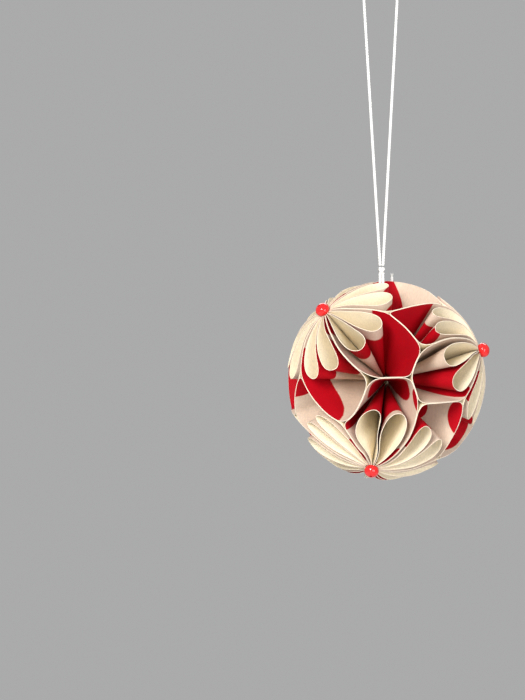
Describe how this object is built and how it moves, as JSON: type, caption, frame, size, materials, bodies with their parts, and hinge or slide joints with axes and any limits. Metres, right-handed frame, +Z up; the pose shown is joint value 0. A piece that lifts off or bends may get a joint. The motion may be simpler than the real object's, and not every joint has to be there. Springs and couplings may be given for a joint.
{
  "type": "kusudama paper ball",
  "caption": "Hanging ball of folded round paper sheets in four flowers, printed in two colours, with a glass bead on each flower and a thread loop.",
  "frame": {"origin": "middle of the ball", "axes": "+Z up along the hanging thread, -Y towards the face with three flowers, +X to the right of it"},
  "size_m": [0.0611, 0.0623, 0.155],
  "materials": {
    "printed_paper": "matt printed paper, blush and red outside, plain cream inside",
    "bead_glass": "glossy red glass",
    "thread_cotton": "white twisted cotton"
  },
  "bodies": {
    "root": {"flower_a_bead": "bead_glass", "flower_a_petal_1": "printed_paper", "flower_a_petal_2": "printed_paper", "flower_a_petal_3": "printed_paper", "flower_a_petal_4": "printed_paper", "flower_a_petal_5": "printed_paper", "flower_a_petal_6": "printed_paper", "flower_b_bead": "bead_glass", "flower_b_petal_1": "printed_paper", "flower_b_petal_2": "printed_paper", "flower_b_petal_3": "printed_paper", "flower_b_petal_4": "printed_paper", "flower_b_petal_5": "printed_paper", "flower_b_petal_6": "printed_paper", "flower_c_bead": "bead_glass", "flower_c_petal_1": "printed_paper", "flower_c_petal_2": "printed_paper", "flower_c_petal_3": "printed_paper", "flower_c_petal_4": "printed_paper", "flower_c_petal_5": "printed_paper", "flower_c_petal_6": "printed_paper", "flower_d_bead": "bead_glass", "flower_d_petal_1": "printed_paper", "flower_d_petal_2": "printed_paper", "flower_d_petal_3": "printed_paper", "flower_d_petal_4": "printed_paper", "flower_d_petal_5": "printed_paper", "flower_d_petal_6": "printed_paper", "thread_knot": "thread_cotton", "thread_loop": "thread_cotton", "thread_stem_left": "thread_cotton", "thread_stem_right": "thread_cotton", "thread_tail": "thread_cotton"}
  },
  "joints": []
}
